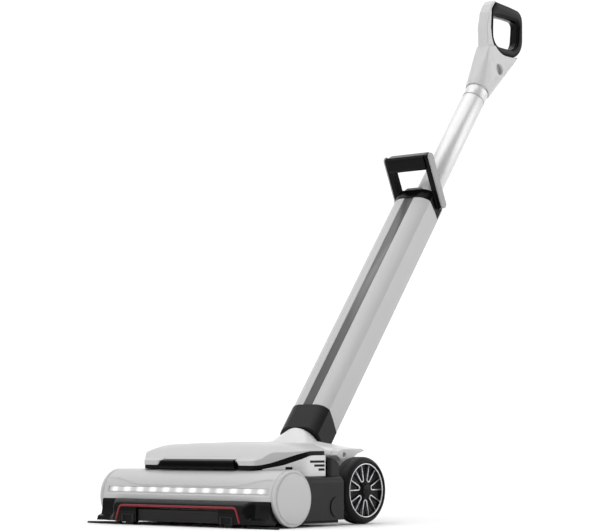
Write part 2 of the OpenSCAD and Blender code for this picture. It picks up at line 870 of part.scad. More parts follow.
chassis();
hood();
front_bumper();
bumper_trim();
sole_plate();
edge_strips();
vent_panel_left();
vent_panel_right();
led_lens();
led_board();
fixed_end_cap();
suction_motor();
brush_motor();
drive_belt();
control_board();
axle();
chassis_screws();
brush_core();
brush_bristles();
motor_pulley();
motor_fan();
release_end_cap();
front_gate();
front_roller_left();
front_roller_right();
lid();
lid_band();
dust_bin();
bin_filter();
bin_latch();
tyre_left();
wheel_disc_left();
wheel_trim_left();
hub_cap_left();
tyre_right();
wheel_disc_right();
wheel_trim_right();
hub_cap_right();
yoke_bridge();
yoke_arm_left();
yoke_arm_right();
yoke_screws();
collar();
column_shell();
column_back();
column_stripe();
charge_inlet();
swivel_bolt();
upper_tube();
tube_ring();
wiring();
grip_housing();
grip_loop();
battery_case();
battery_cells();
carry_handle();
handle_side_covers();
release_button();
power_button();
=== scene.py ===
"""Looks for the cordless upright cleaner: studio, camera, plastic materials and finely rounded pieces.

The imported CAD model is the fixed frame. Pieces below are drawn in millimetres, in the head's or the
column's own coordinates, and placed in the row frame in metres.
"""
import math

import bmesh
import bpy
from mathutils import Matrix, Vector


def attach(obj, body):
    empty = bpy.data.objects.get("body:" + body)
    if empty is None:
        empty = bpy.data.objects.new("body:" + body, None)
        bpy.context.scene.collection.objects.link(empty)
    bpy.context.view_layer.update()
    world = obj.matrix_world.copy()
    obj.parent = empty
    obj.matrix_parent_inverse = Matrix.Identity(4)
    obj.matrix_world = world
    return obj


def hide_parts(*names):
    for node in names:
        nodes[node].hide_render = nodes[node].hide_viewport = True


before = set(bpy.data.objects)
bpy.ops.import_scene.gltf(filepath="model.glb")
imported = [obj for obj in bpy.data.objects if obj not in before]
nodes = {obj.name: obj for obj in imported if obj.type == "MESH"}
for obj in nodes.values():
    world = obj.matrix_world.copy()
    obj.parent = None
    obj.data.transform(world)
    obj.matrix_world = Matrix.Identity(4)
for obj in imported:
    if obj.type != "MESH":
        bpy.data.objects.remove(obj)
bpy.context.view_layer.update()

MM = 0.001
AXLE_Y = -190.5
AXLE_Z = 46.5
RECLINE = math.radians(37.14)
HEAD = Matrix.Diagonal((MM, MM, MM, 1)) @ Matrix.Translation((0, AXLE_Y, 0))
COLUMN = (Matrix.Diagonal((MM, MM, MM, 1)) @ Matrix.Translation((0, AXLE_Y, AXLE_Z))
          @ Matrix.Rotation(-RECLINE, 4, "X"))


# ---------- materials ----------
def grey(level):
    return (level, level, level, 1)


class Finish:
    """A Principled material with a few helpers for its procedural detail."""

    def __init__(self, name, **constants):
        self.material = bpy.data.materials.new(name)
        self.material.use_nodes = True
        self.tree = self.material.node_tree
        self.shader = self.tree.nodes["Principled BSDF"]
        for socket, value in constants.items():
            self.shader.inputs[socket.replace("_", " ")].default_value = value
        self.coord = self.node("ShaderNodeTexCoord").outputs["Object"]

    def node(self, kind, **settings):
        made = self.tree.nodes.new(kind)
        for key, value in settings.items():
            if key in made.inputs:
                made.inputs[key].default_value = value
            else:
                setattr(made, key, value)
        return made

    def link(self, a, b):
        self.tree.links.new(a, b)

    def noise(self, scale, detail=2.0, stretch=None):
        made = self.node("ShaderNodeTexNoise", Scale=scale, Detail=detail)
        if stretch:
            mapping = self.node("ShaderNodeMapping")
            mapping.inputs["Scale"].default_value = stretch
            self.link(self.coord, mapping.inputs["Vector"])
            self.link(mapping.outputs["Vector"], made.inputs["Vector"])
        else:
            self.link(self.coord, made.inputs["Vector"])
        return made.outputs["Fac"]

    def spread(self, value, low, high, start=0.3, end=0.7):
        made = self.node("ShaderNodeMapRange")
        for socket, number in (("From Min", start), ("From Max", end), ("To Min", low), ("To Max", high)):
            made.inputs[socket].default_value = number
        self.link(value, made.inputs["Value"])
        return made.outputs["Result"]

    def mix(self, factor, a, b):
        made = self.node("ShaderNodeMix", data_type="RGBA")
        self.link(factor, made.inputs["Factor"])
        made.inputs["A"].default_value = a
        made.inputs["B"].default_value = b
        return made.outputs["Result"]

    def colour(self, factor, a, b):
        self.link(self.mix(factor, a, b), self.shader.inputs["Base Color"])

    def roughness(self, value):
        self.link(value, self.shader.inputs["Roughness"])

    def bump(self, height, strength, distance):
        made = self.node("ShaderNodeBump", Strength=strength, Distance=distance)
        self.link(height, made.inputs["Height"])
        self.link(made.outputs["Normal"], self.shader.inputs["Normal"])


def moulded(name, level, rough, grain=2600, depth=0.000004, vary=0.03, **constants):
    """Injection-moulded plastic: cloudy colour, uneven gloss and a fine moulded grain."""
    finish = Finish(name, **constants)
    base = level if hasattr(level, "__len__") else grey(level)
    darker = tuple(c * (1 - vary) for c in base[:3]) + (1,)
    finish.colour(finish.spread(finish.noise(14), 0, 1), darker, base)
    finish.roughness(finish.spread(finish.noise(40, 3), rough * 0.92, rough * 1.1))
    finish.bump(finish.noise(grain, 3), 0.35, depth)
    return finish


def metal(name, base, rough, stretch=(1, 1, 1)):
    finish = Finish(name, Metallic=1.0)
    darker = tuple(c * 0.86 for c in base) + (1,)
    finish.colour(finish.spread(finish.noise(30), 0, 1), darker, tuple(base) + (1,))
    streaks = finish.noise(500, 4, stretch)
    finish.roughness(finish.spread(streaks, rough * 0.8, rough * 1.3))
    finish.bump(streaks, 0.2, 0.00002)
    return finish


SHELL = moulded("light_grey_gloss", 0.53, 0.34, 2600, 0.000003, 0.015)
WHITE = moulded("white_gloss", 0.72, 0.3, 2400, 0.000003, 0.012)
TUBE = moulded("white_coated_tube", 0.74, 0.36, 3000, 0.000002, 0.012, Metallic=0.4)
GRIP = moulded("pearl_grip", 0.6, 0.3, 2400, 0.000003, 0.012)
STRIPE = moulded("grey_stripe", 0.13, 0.35)
COVER = moulded("mid_grey_cover", 0.36, 0.35)
SATIN = moulded("dark_satin_plastic", 0.011, 0.4, 1800, 0.00001, 0.12, Specular_IOR_Level=0.2)
SATIN_GLOSS = moulded("dark_gloss_plastic", 0.005, 0.24, 1800, 0.000005, 0.12, Specular_IOR_Level=0.12)
BLACK = moulded("black_gloss_plastic", 0.003, 0.12, 2000, 0.000003, 0.15, Specular_IOR_Level=0.1)
RUBBER = moulded("black_rubber", 0.008, 0.6, 1800, 0.00002, 0.2, Specular_IOR_Level=0.3)
TYRE = moulded("tyre_rubber", 0.005, 0.5, 1800, 0.00001, 0.2, Specular_IOR_Level=0.2)
RED = moulded("red_trim", (0.24, 0.014, 0.022, 1), 0.3, Specular_IOR_Level=0.3)
SILVER = metal("silver_trim", (0.72, 0.73, 0.75), 0.28)
STEEL = metal("steel", (0.6, 0.6, 0.62), 0.3, (1, 6, 6))
CAST = metal("cast_aluminium", (0.5, 0.5, 0.52), 0.5)
CELL = moulded("cell_wrap", (0.1, 0.25, 0.4, 1), 0.35)
BRISTLE = moulded("red_bristle", (0.25, 0.015, 0.02, 1), 0.6, 2600, 0.0002)
CIRCUIT = moulded("circuit_board", (0.03, 0.18, 0.08, 1), 0.4, 2200, 0.00005, 0.3)
WIRE = moulded("wire_sleeve", (0.3, 0.02, 0.02, 1), 0.4)
FILTER = moulded("filter_felt", 0.62, 0.9, 2400, 0.0002, 0.15)
BIN = moulded("clear_bin", (0.75, 0.77, 0.78, 1), 0.12, 300, 0.00001, 0.03,
              Transmission_Weight=0.85, IOR=1.48)


def lamp_window():
    """Frosted clear plastic, lit from behind by the row of lamps."""
    finish = Finish("lamp_window", Roughness=0.25, IOR=1.48)
    finish.colour(finish.spread(finish.noise(30), 0, 1), grey(0.5), grey(0.53))
    split = finish.node("ShaderNodeSeparateXYZ")
    finish.link(finish.coord, split.inputs["Vector"])
    pitch = 0.025
    middle_z = 0.0486
    strip_end = 0.148

    def math_node(operation, a, b=None):
        made = finish.node("ShaderNodeMath", operation=operation)
        for socket, value in zip(made.inputs, (a, b)):
            if isinstance(value, (int, float)):
                socket.default_value = value
            elif value is not None:
                finish.link(value, socket)
        return made.outputs["Value"]

    wave = math_node("COSINE", math_node("MULTIPLY", math_node("ADD", split.outputs["X"], pitch / 2),
                                         2 * math.pi / pitch))
    glow = finish.spread(wave, 0.14, 0.62, -0.7, 1)
    fade = finish.spread(math_node("ABSOLUTE", split.outputs["X"]), 1, 0, strip_end - 0.01, strip_end)
    height = math_node("ABSOLUTE", math_node("SUBTRACT", split.outputs["Z"], middle_z))
    fade = math_node("MULTIPLY", fade, finish.spread(height, 1, 0, 0.0022, 0.0044))
    finish.shader.inputs["Emission Color"].default_value = grey(1)
    finish.link(math_node("MULTIPLY", glow, fade), finish.shader.inputs["Emission Strength"])
    finish.bump(finish.noise(700, 2), 0.2, 0.00002)
    return finish


LENS = lamp_window()

BY_NODE = {
    SHELL: ["hood", "fixed_end_cap", "release_end_cap", "lid", "column_shell", "column_back", "tube_ring"],
    WHITE: ["vent_panel_left", "vent_panel_right", "yoke_bridge", "yoke_arm_left", "yoke_arm_right"],
    GRIP: ["grip_housing"],
    TUBE: ["upper_tube"],
    STRIPE: ["column_stripe", "power_button", "release_button"],
    COVER: ["handle_side_covers"],
    SATIN: ["chassis", "front_bumper", "front_gate", "collar"],
    BLACK: ["sole_plate", "lid_band", "bin_latch", "carry_handle", "grip_loop", "hub_cap_left",
            "hub_cap_right", "wheel_disc_left", "wheel_disc_right", "charge_inlet", "battery_case",
            "motor_fan"],
    RUBBER: ["edge_strips", "front_roller_left", "front_roller_right", "drive_belt"],
    TYRE: ["tyre_left", "tyre_right"],
    RED: ["bumper_trim"],
    SILVER: ["wheel_trim_left", "wheel_trim_right"],
    STEEL: ["axle", "chassis_screws", "yoke_screws", "swivel_bolt", "motor_pulley"],
    CAST: ["suction_motor", "brush_motor", "brush_core"],
    CELL: ["battery_cells"],
    BRISTLE: ["brush_bristles"],
    CIRCUIT: ["led_board", "control_board"],
    WIRE: ["wiring"],
    FILTER: ["bin_filter"],
    BIN: ["dust_bin", "led_lens"],
}
for finish, names in BY_NODE.items():
    for name in names:
        nodes[name].data.materials.clear()
        nodes[name].data.materials.append(finish.material)


# ---------- shapes ----------
def arc(c, r, a0, a1, steps=12):
    angles = [math.radians(a0 + (a1 - a0) * i / steps) for i in range(steps + 1)]
    return [(c[0] + r * math.cos(a), c[1] + r * math.sin(a)) for a in angles]


def ease(t):
    u = min(max(t, 0), 1)
    return u * u * (3 - 2 * u)


def mix(a, b, t):
    return a + (b - a) * t


def add(name, points, faces, place, finish, body, replaces=(), solid=0, bevel=0, segments=3,
        sharp=32):
    """A mesh piece, smooth shaded, its sharp edges rounded by a bevel."""
    mesh = bpy.data.meshes.new(name)
    mesh.from_pydata([place @ Vector(p) for p in points], [], faces)
    form = bmesh.new()
    form.from_mesh(mesh)
    bmesh.ops.remove_doubles(form, verts=form.verts, dist=0.000001)
    bmesh.ops.recalc_face_normals(form, faces=form.faces)
    form.to_mesh(mesh)
    form.free()
    mesh.shade_smooth()
    piece = bpy.data.objects.new(name, mesh)
    bpy.context.scene.collection.objects.link(piece)
    mesh.materials.append(finish.material)
    if solid:
        shell = piece.modifiers.new("wall", "SOLIDIFY")
        shell.thickness = solid * MM
        shell.offset = -1
    if bevel:
        round_edges(piece, bevel, segments, sharp)
    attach(piece, body)
    if replaces:
        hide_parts(*replaces)
    return piece


def round_edges(piece, width, segments=3, sharp=32):
    bevel = piece.modifiers.new("rounded_edges", "BEVEL")
    bevel.width = width * MM
    bevel.segments = segments
    bevel.limit_method = "ANGLE"
    bevel.angle_limit = math.radians(sharp)
    bevel.harden_normals = True


def prism(outline, ends):
    """A closed side outline in (y, z), drawn between x = ends[0] and x = ends[1]."""
    n = len(outline)
    points = [(x, y, z) for x in ends for y, z in outline]
    faces = [list(range(n)), list(range(n, 2 * n))]
    faces += [[i, (i + 1) % n, n + (i + 1) % n, n + i] for i in range(n)]
    return points, faces


def joined(parts):
    """Several (points, faces) meshes as one."""
    points, faces = [], []
    for more_points, more_faces in parts:
        start = len(points)
        points += more_points
        faces += [[start + i for i in face] for face in more_faces]
    return points, faces


def rings(sections, closed=False, capped=True):
    """A skin through sections, each a closed loop of the same number of points."""
    n, m = len(sections[0]), len(sections)
    points = [p for section in sections for p in section]
    spans = range(m if closed else m - 1)
    faces = [[i * n + j, i * n + (j + 1) % n, (i + 1) % m * n + (j + 1) % n, (i + 1) % m * n + j]
             for i in spans for j in range(n)]
    if capped and not closed:
        faces += [list(range(n)), list(range((m - 1) * n, m * n))]
    return points, faces


def upright(outline, low, high):
    """A closed outline in (x, y), drawn between two heights."""
    return rings([[(x, y, z) for x, y in outline] for z in (low, high)])


def lathe(profile, steps=96):
    """A closed profile of (radius, height) turned about +Z."""
    angles = [2 * math.pi * i / steps for i in range(steps)]
    return rings([[(r * math.cos(a), r * math.sin(a), h) for r, h in profile] for a in angles], True)


def tube_along(path, radius, sides=8):
    """A round wire along points that lie in one plane, normal to +Z."""
    sections = []
    for i, p in enumerate(path):
        ahead = Vector(path[min(i + 1, len(path) - 1)])
        behind = Vector(path[max(i - 1, 0)])
        side = (ahead - behind).normalized().cross(Vector((0, 0, 1)))
        sections.append([Vector(p) + radius * (math.cos(a) * side + Vector((0, 0, math.sin(a))))
                         for a in (2 * math.pi * k / sides for k in range(sides))])
    return rings(sections)


def reach(outline, centre, angle):
    """Distance from a point inside an outline to the outline, in one direction."""
    dx, dy = math.cos(angle), math.sin(angle)
    best = 0
    for i, (ax, ay) in enumerate(outline):
        bx, by = outline[(i + 1) % len(outline)]
        ex, ey = bx - ax, by - ay
        det = dx * ey - dy * ex
        if abs(det) > 1e-9:
            t = ((ax - centre[0]) * ey - (ay - centre[1]) * ex) / det
            u = ((ax - centre[0]) * dy - (ay - centre[1]) * dx) / det
            if t > 0 and -1e-6 <= u <= 1 + 1e-6:
                best = max(best, t)
    return best


def hoop(outer, inner, centre, half_width, steps=144, around=20, square=0.55, smooth=2):
    """A closed loop handle between two outlines, with a rounded cross-section across its width."""
    angles = [2 * math.pi * i / steps for i in range(steps)]
    spans = []
    for outline in (outer, inner):
        radii = [reach(outline, centre, a) for a in angles]
        for _ in range(smooth):
            radii = [(radii[i - 1] + 2 * radii[i] + radii[(i + 1) % steps]) / 4 for i in range(steps)]
        spans.append(radii)

    def bulge(v):
        return math.copysign(abs(v) ** square, v)

    sections = []
    for a, out, within in zip(angles, *spans):
        middle, half = (out + within) / 2, (out - within) / 2
        section = []
        for k in range(around):
            t = 2 * math.pi * k / around
            r = middle + half * bulge(math.cos(t))
            section.append((half_width * bulge(math.sin(t)),
                            centre[0] + r * math.cos(a), centre[1] + r * math.sin(a)))
        sections.append(section)
    return rings(sections, True)


def softened(name, sources, finish, voxel, rounds, body):
    """A copy of CAD nodes with every edge and inside corner rounded over."""
    points, faces = [], []
    for source in sources:
        start = len(points)
        points += [v.co / MM for v in nodes[source].data.vertices]
        faces += [[start + i for i in p.vertices] for p in nodes[source].data.polygons]
    piece = add(name, points, faces, Matrix.Scale(MM, 4), finish, body, sources)
    remesh = piece.modifiers.new("even_mesh", "REMESH")
    remesh.mode = "VOXEL"
    remesh.voxel_size = voxel * MM
    remesh.use_smooth_shade = True
    smooth = piece.modifiers.new("rounded", "SMOOTH")
    smooth.iterations = rounds
    smooth.factor = 0.5
    return piece


def soften_node(name, width):
    """Rounds the sharp edges of a CAD node that stays as it is."""
    piece = nodes[name]
    piece.data.shade_smooth()
    weld = piece.modifiers.new("weld", "WELD")
    weld.merge_threshold = 0.00001
    planar = piece.modifiers.new("flat_faces", "DECIMATE")
    planar.decimate_type = "DISSOLVE"
    planar.angle_limit = math.radians(0.5)
    round_edges(piece, width, 2, 30)
    even = piece.modifiers.new("even_shading", "WEIGHTED_NORMAL")
    even.weight = 100


# ---------- floor head ----------
SIDE_X = 157
BARREL = (-173.5, 38.5)
BARREL_R = 37.5
LED_SPAN = (157.6, 171)
LENS_X = 149
LID_X = 147
LID_FRONT = -185
REAR_Y = -56
LID_EDGE = 82
LID_LIFT = 19.5
LID_SWEEP = 70
LID_TOP = 114
LID_BLEND = 7
LID_MIDDLE = (88, -116)
BAND_H = 5.4
LATCH_X = 71


def on_axis(x, y, z):
    """Turned parts of the head: +Z of the lathe runs along +X from this point."""
    return HEAD @ Matrix.Translation((x, y, z)) @ Matrix.Rotation(math.pi / 2, 4, "Y")


MIRROR = Matrix.Diagonal((-1, 1, 1, 1))


def crease_angle(x):
    """Where the hood steps in above the lamps: level in the middle, rising towards both ends."""
    height = 54.9 + 9.4 * ease((abs(x) - 82) / 66) - BARREL[1]
    return 180 - math.degrees(math.asin(height / BARREL_R))


def hood_radius(x, angle):
    below = ease((angle - crease_angle(x)) / 2.2)
    above_foot = ease((175.5 - angle) / 3.5)
    inside = ease((156 - abs(x)) / 6)
    return BARREL_R - 1.6 * below * above_foot * inside


def hood():
    """The front shell: a rolled front with a stepped-in lamp window, and a flat deck behind."""
    xs = sorted({*(i * 3.14 for i in range(-49, 50)), -LENS_X, LENS_X, -SIDE_X + 0.4, SIDE_X - 0.4})
    xs = [x for x in xs if abs(x) <= SIDE_X - 0.4]
    angles = sorted({*(90 + i * 1.6 for i in range(60)), *LED_SPAN, 185})
    angles = [a for a in angles if a <= 185]
    points, faces = [], []
    for x in xs:
        points += [(x, -150.8, 76), (x, -160, 76)]
        for a in angles:
            r = hood_radius(x, a)
            points.append((x, BARREL[0] + r * math.cos(math.radians(a)),
                           BARREL[1] + r * math.sin(math.radians(a))))
    n = len(angles) + 2
    for i in range(len(xs) - 1):
        for j in range(n - 1):
            middle_x = (xs[i] + xs[i + 1]) / 2
            if j >= 2:
                middle_a = (angles[j - 2] + angles[j - 1]) / 2
                if abs(middle_x) < LENS_X and LED_SPAN[0] < middle_a < LED_SPAN[1]:
                    continue
            faces.append([i * n + j, i * n + j + 1, (i + 1) * n + j + 1, (i + 1) * n + j])
    add("hood_shell", points, faces, HEAD, SHELL, "floor_head", ["hood"], 2.6, 0.5, 2)


def lens():
    """The clear window over the lamps, following the hood's step."""
    points = []
    columns, rows = 70, 8
    for i in range(columns + 1):
        x = mix(-LENS_X + 0.4, LENS_X - 0.4, i / columns)
        for j in range(rows + 1):
            a = mix(LED_SPAN[0] + 0.5, LED_SPAN[1] - 0.5, j / rows)
            r = hood_radius(x, a) - 0.35
            points.append((x, BARREL[0] + r * math.cos(math.radians(a)),
                           BARREL[1] + r * math.sin(math.radians(a))))
    n = rows + 1
    faces = [[i * n + j, i * n + j + 1, (i + 1) * n + j + 1, (i + 1) * n + j]
             for i in range(columns) for j in range(rows)]
    add("lamp_window", points, faces, HEAD, LENS, "floor_head", ["led_lens"], 0.8, 0.2, 2)


def lid_edge_z(y):
    return LID_EDGE + LID_LIFT * ease((y - LID_FRONT) / LID_SWEEP)


def band_foot(y):
    """The band's lower edge: the band is deepest where it climbs."""
    return lid_edge_z(y) - BAND_H - 2.6 * ease((y + 172) / 24) * (1 - ease((y + 142) / 34))


def lid_height(x, y):
    """The lid's top: rolled down at the front, falling to its side edges."""
    roll = 30 + math.sqrt(84 ** 2 - (min(y, -118) + 118) ** 2)
    crown = max(roll, LID_EDGE + 6.5 + 0.3 * (y - LID_FRONT))
    crown -= 1.5 * ease((y + 100) / 44)
    rise = lid_edge_z(y) - LID_EDGE
    stations = [(0, LID_TOP), (20, LID_TOP), (52, LID_TOP - 1), (105, LID_TOP - 8 + rise / 4),
                (LID_X, LID_EDGE + 1.8 + rise)]
    across = abs(x)
    for (xa, za), (xb, zb) in zip(stations, stations[1:]):
        if xa <= across <= xb:
            side = mix(za, zb, (across - xa) / (xb - xa))
            break
    else:
        side = stations[-1][1]
    blend = max(0, 1 - abs(crown - side) / LID_BLEND)
    return min(crown, side) - 0.175 * LID_BLEND * blend * blend


def lid_plan(e, notch=False):
    """The lid's outline from the front middle, round by +X, to the front middle again."""
    half = [(0, LID_FRONT + e)]
    if notch:
        half = [(0, -177), (LATCH_X - 2, -177), (LATCH_X + 2, LID_FRONT + e)]
    half += arc((98, LID_FRONT + 9), 9 - e, 270, 324, 6) + arc((127, -120), 20 - e, 324, 360, 8)
    half += arc((LID_X - 14, -92), 14 - e, 0, 60, 8)
    half += [(96, REAR_Y - e), (60, REAR_Y - e), (20, REAR_Y - e)]
    return half + [(-x, y) for x, y in half[:0:-1]]


def denser(outline, step):
    """The same closed outline with no side longer than step."""
    made = []
    for i, (ax, ay) in enumerate(outline):
        bx, by = outline[(i + 1) % len(outline)]
        cuts = max(1, math.ceil(math.hypot(bx - ax, by - ay) / step))
        made += [(mix(ax, bx, k / cuts), mix(ay, by, k / cuts)) for k in range(cuts)]
    return made


def lid_foot(x, y):
    """The lid's lower edge, raised over the latch."""
    over_latch = abs(x) <= LATCH_X + 2.5 and y <= -170
    return min(90.2 if over_latch else lid_edge_z(y), lid_height(x, y) - 0.4)


def lid():
    """The lid: rings that shrink from its edge to its middle, laid on the lid's height."""
    outline = denser(lid_plan(0, notch=True), 4)
    sections = [[(x, y, lid_foot(x, y)) for x, y in outline]]
    for t in (0, 0.006, 0.014, 0.03, 0.06, 0.1, 0.16, 0.24, 0.34, 0.46, 0.6, 0.75, 0.9, 1):
        section = []
        for x, y in outline:
            middle_x = min(max(x, -LID_MIDDLE[0]), LID_MIDDLE[0])
            px, py = mix(x, middle_x, t), mix(y, LID_MIDDLE[1], t)
            drop = 0.9 * (1 - min(t / 0.014, 1)) ** 2
            section.append((px, py, max(lid_height(px, py) - drop, lid_edge_z(y) if t == 0 else 0)))
        sections.append(section)
    points, faces = rings(sections, capped=False)
    add("lid_shell", points, faces, HEAD, SHELL, "bin_cartridge", ["lid"], 2.4, 0.35, 2)


def lid_band():
    """The dark band under the lid, open where the latch sits."""
    outer = denser(lid_plan(0.8), 4)
    inner = [(x * 0.945, mix(y, LID_MIDDLE[1], 0.07)) for x, y in outer]
    path = [i for i, (x, y) in enumerate(outer) if not (abs(x) < LATCH_X + 2 and y < -150)]
    sections = []
    for i in path:
        (x, y), (u, v) = outer[i], inner[i]
        low, high = band_foot(y), lid_edge_z(y) - 0.15
        sections.append([(x, y, low), (x, y, high), (u, v, high), (u, v, low)])
    points, faces = rings(sections)
    add("lid_lower_band", points, faces, HEAD, BLACK, "bin_cartridge", ["lid_band"], 0, 0.7)


def latch():
    """The press lip in the lid's front: a low trapezoid with a finger edge."""
    line = [(-187.6, 77.2), (-184.6, 77.2), (-183.4, 86.8), (-178.9, 87.6), (-179.4, 89.3), (-185, 89.3),
            (-187.2, 88), (-187.8, 86)]
    sections = []
    for side in (-1, 1):
        sections.append([(side * (LATCH_X - 4 * (z - 77.2) / 12.1), y, z) for y, z in line])
    points, faces = rings(sections)
    add("latch_lip", points, faces, HEAD, BLACK, "latch", ["bin_latch"], 0, 0.8)


def end_cap(name, node, body, mirrored):
    place = on_axis(SIDE_X, *BARREL)
    if mirrored:
        place = MIRROR @ place
    profile = [(0, 0), (BARREL_R, 0)] + arc((BARREL_R - 1.2, 5.4), 1.2, 0, 90, 4)
    profile += [(34.7, 6.6), (34.4, 6.2), (33.9, 6.2), (33.6, 6.8)] + arc((32.6, 7), 1, 0, 90, 3)
    profile += [(20, 8), (0, 8)]
    points, faces = lathe(profile, 128)
    add(name, points, faces, place, SHELL, body, [node])


def bumper():
    """The dark skirt under the hood: proud in the middle, open over the flap, tucked back at both ends."""
    flap = 76.6
    xs = [-156.4, -153, -149, -145] + [-140 + 4 * i for i in range(71)] + [145, 149, 153, 156.4]
    xs = sorted(xs + [-flap - 0.01, -flap, flap, flap + 0.01])
    sections = []
    middle = [(-209.5, 34.4), (-214, 35), (-218.5, 34.2), (-222.4, 31.8), (-225, 29), (-226.6, 25.4),
              (-226.6, 18), (-226.6, 14), (-226.6, 10), (-226.6, 5), (-219, 5), (-219, 24), (-212, 31.5),
              (-209.5, 32)]
    ends = [(-209, 34.4), (-210.6, 34.9), (-211.6, 34), (-212.4, 31.4), (-212.6, 28), (-212.8, 24),
            (-213.4, 18), (-215, 13.4), (-221.6, 11), (-223.6, 5), (-216, 5), (-209.6, 24), (-208.6, 31),
            (-208.6, 32)]
    for x in xs:
        turn = ease((abs(x) - 120) / 14)
        line = [(mix(ya, yb, turn), mix(za, zb, turn)) for (ya, za), (yb, zb) in zip(middle, ends)]
        low = 23.8 if abs(x) <= flap else 0
        sections.append([(x, y, max(z, low)) for y, z in line])
    cheek = [(-222, 5), (-220, 11), (-214.4, 13.6), (-212.6, 24), (-211.6, 33.4)]
    cheek += arc(BARREL, 34.9, 188, 235, 8) + [(-201, 5)]
    points, faces = joined([rings(sections), prism(cheek, (-156.5, -152.8)), prism(cheek, (152.8, 156.5))])
    add("front_skirt", points, faces, HEAD, SATIN_GLOSS, "floor_head", ["front_bumper"],
        0, 0.7)
    roof = [(-227.6, 13.2), (-219.4, 13.6), (-219.4, 19), (-225, 16), (-227.8, 14.2)]
    wall = [(-227.6, 3.5), (-219.4, 3.5)] + roof[2:]
    for side in (-1, 1):
        points, faces = joined([prism(outline, sorted(side * x for x in ends)) for outline, ends in
                                ((wall, (80, 84)), (roof, (83.8, 100.2)), (wall, (100, 104)))])
        add("roller_pod_" + ("left" if side > 0 else "right"), points, faces, HEAD, SATIN, "floor_head",
            (), 0, 0.5)


def trim():
    """The red line round the flap: an upside-down U that stands proud of the skirt."""
    half = [(x, 26.5) for x in range(0, 100, 8)] + arc((103, 19.2), 7.3, 90, 15, 8)
    half += [(115, 7.4), (115.3, 5.8)]
    line = [(-x, z, 0) for x, z in half[:0:-1]] + [(x, z, 0) for x, z in half]
    points, faces = tube_along(line, 1.6, 10)
    place = HEAD @ Matrix.Translation((0, -226.6, 0)) @ Matrix.Rotation(math.pi / 2, 4, "X")
    place = place @ Matrix.Diagonal((1, 1, 0.8, 1))
    add("red_line", points, faces, place, RED, "floor_head", ["bumper_trim"])


def strips():
    """Thin rubber blades that sweep along a skirting board, one at each front corner."""
    shape = [(118, -217), (150, -221), (168, -222), (176.6, -222), (178.6, -220.6), (178.4, -218.6),
             (172, -213), (160, -207), (140, -208.6), (118, -210.5)]
    for side, label in ((1, "left"), (-1, "right")):
        lower = [(side * x, y, 0.1) for x, y in shape]
        upper = [(side * x, y, 2.6 + 0.7 * ease((150 - x) / 30)) for x, y in shape]
        points, faces = rings([lower, upper])
        replaced = ["edge_strips"] if side > 0 else ()
        add("corner_blade_" + label, points, faces, HEAD, RUBBER, "floor_head", replaced, 0, 0.5)


def vent_panels():
    """White side panels that follow the lid's outline, with three shrinking slots cut right through."""
    slots = [(74.8 + 5.4 * (2 - i), -85 - (35 - 9 * i), -85) for i in range(3)] + [(76.6, -150, -142)]
    zs = [67.4, 70, 74.8, 76.6, 78, 80.2, 83.4, 85.6, 88.8]
    n = len(zs) + 1
    path = [(x, y) for x, y in denser(lid_plan(-0.6), 1) if x > 90 and -176 < y < -83]
    for label, side in (("left", 1), ("right", -1)):
        points, faces = [], []
        for x, y in path:
            top = band_foot(y) - 0.4
            low = 67.4 if y > -149 else 76.4
            column = [max(low, min(z, top - 0.5 + 0.05 * k)) for k, z in enumerate(zs)] + [top]
            points += [(side * x, y, z) for z in column]
        for i in range(len(path) - 1):
            y = (path[i][1] + path[i + 1][1]) / 2
            for j in range(n - 1):
                z = (points[i * n + j][2] + points[i * n + j + 1][2]) / 2
                if not any(foot < z < foot + 3.3 and y0 < y < y1 for foot, y0, y1 in slots):
                    faces.append([i * n + j, i * n + j + 1, (i + 1) * n + j + 1, (i + 1) * n + j])
        add("side_panel_" + label, points, faces, HEAD, WHITE, "floor_head", ["vent_panel_" + label],
            2, 0.5, 2)


# ---------- wheels ----------
WHEEL_W = 28
WHEEL_R = 46.5
SPOKES = 7


def tyre(label, place):
    tread = [(38.3, 0.2)] + arc((WHEEL_R - 7, 7), 7, -90, 0, 8)
    tread += [(WHEEL_R, 12), (WHEEL_R - 0.5, 12.5), (WHEEL_R - 0.5, 13.3), (WHEEL_R, 13.8)]
    tread += arc((WHEEL_R - 9, WHEEL_W - 9), 9, 0, 78, 9)
    tread += [(39.6, WHEEL_W - 0.35), (38.3, WHEEL_W - 1.2)]
    points, faces = lathe(tread, 144)
    add("tyre_band_" + label, points, faces, place, TYRE, "wheel_" + label, ["tyre_" + label])


def wheel_face(label, place):
    face = [(5.05, 0.5), (11, 0.5), (11, 19), (34, 19), (34, 0.5), (38.1, 0.5), (38.1, 24.4), (36, 24.6),
            (35, 23), (33, 21.6), (24, 21.2), (14, 22.2), (11.8, 25), (11, 25.8), (5.05, 25.8)]
    points, faces = lathe(face, 144)
    add("wheel_face_" + label, points, faces, place, BLACK, "wheel_" + label, ["wheel_disc_" + label],
        0, 0.3, 2, 40)


def wheel_lines(label, place):
    """A bright rim and seven thin loops that run in from it."""
    rim = [(35.9, 23.6), (37.9, 23.6), (37.9, 25.6), (37.4, 26.3), (36.5, 26.3), (35.9, 25.6)]
    spoke = [(7.9, 36.4), (3.3, 17)] + arc((0, 16.5), 3.3, 0, -180, 8) + [(-3.3, 17), (-7.9, 36.4)]
    loop_points, loop_faces = tube_along([(x, y, 0) for x, y in spoke], 0.95, 8)
    lines = [lathe(rim, 144)]
    for i in range(SPOKES):
        turn = Matrix.Rotation(2 * math.pi * (i / SPOKES + 0.25), 4, "Z")
        turn = Matrix.Translation((0, 0, 23.9)) @ turn
        lines.append(([turn @ p for p in loop_points], loop_faces))
    points, faces = joined(lines)
    add("wheel_lines_" + label, points, faces, place, SILVER, "wheel_" + label, ["wheel_trim_" + label])


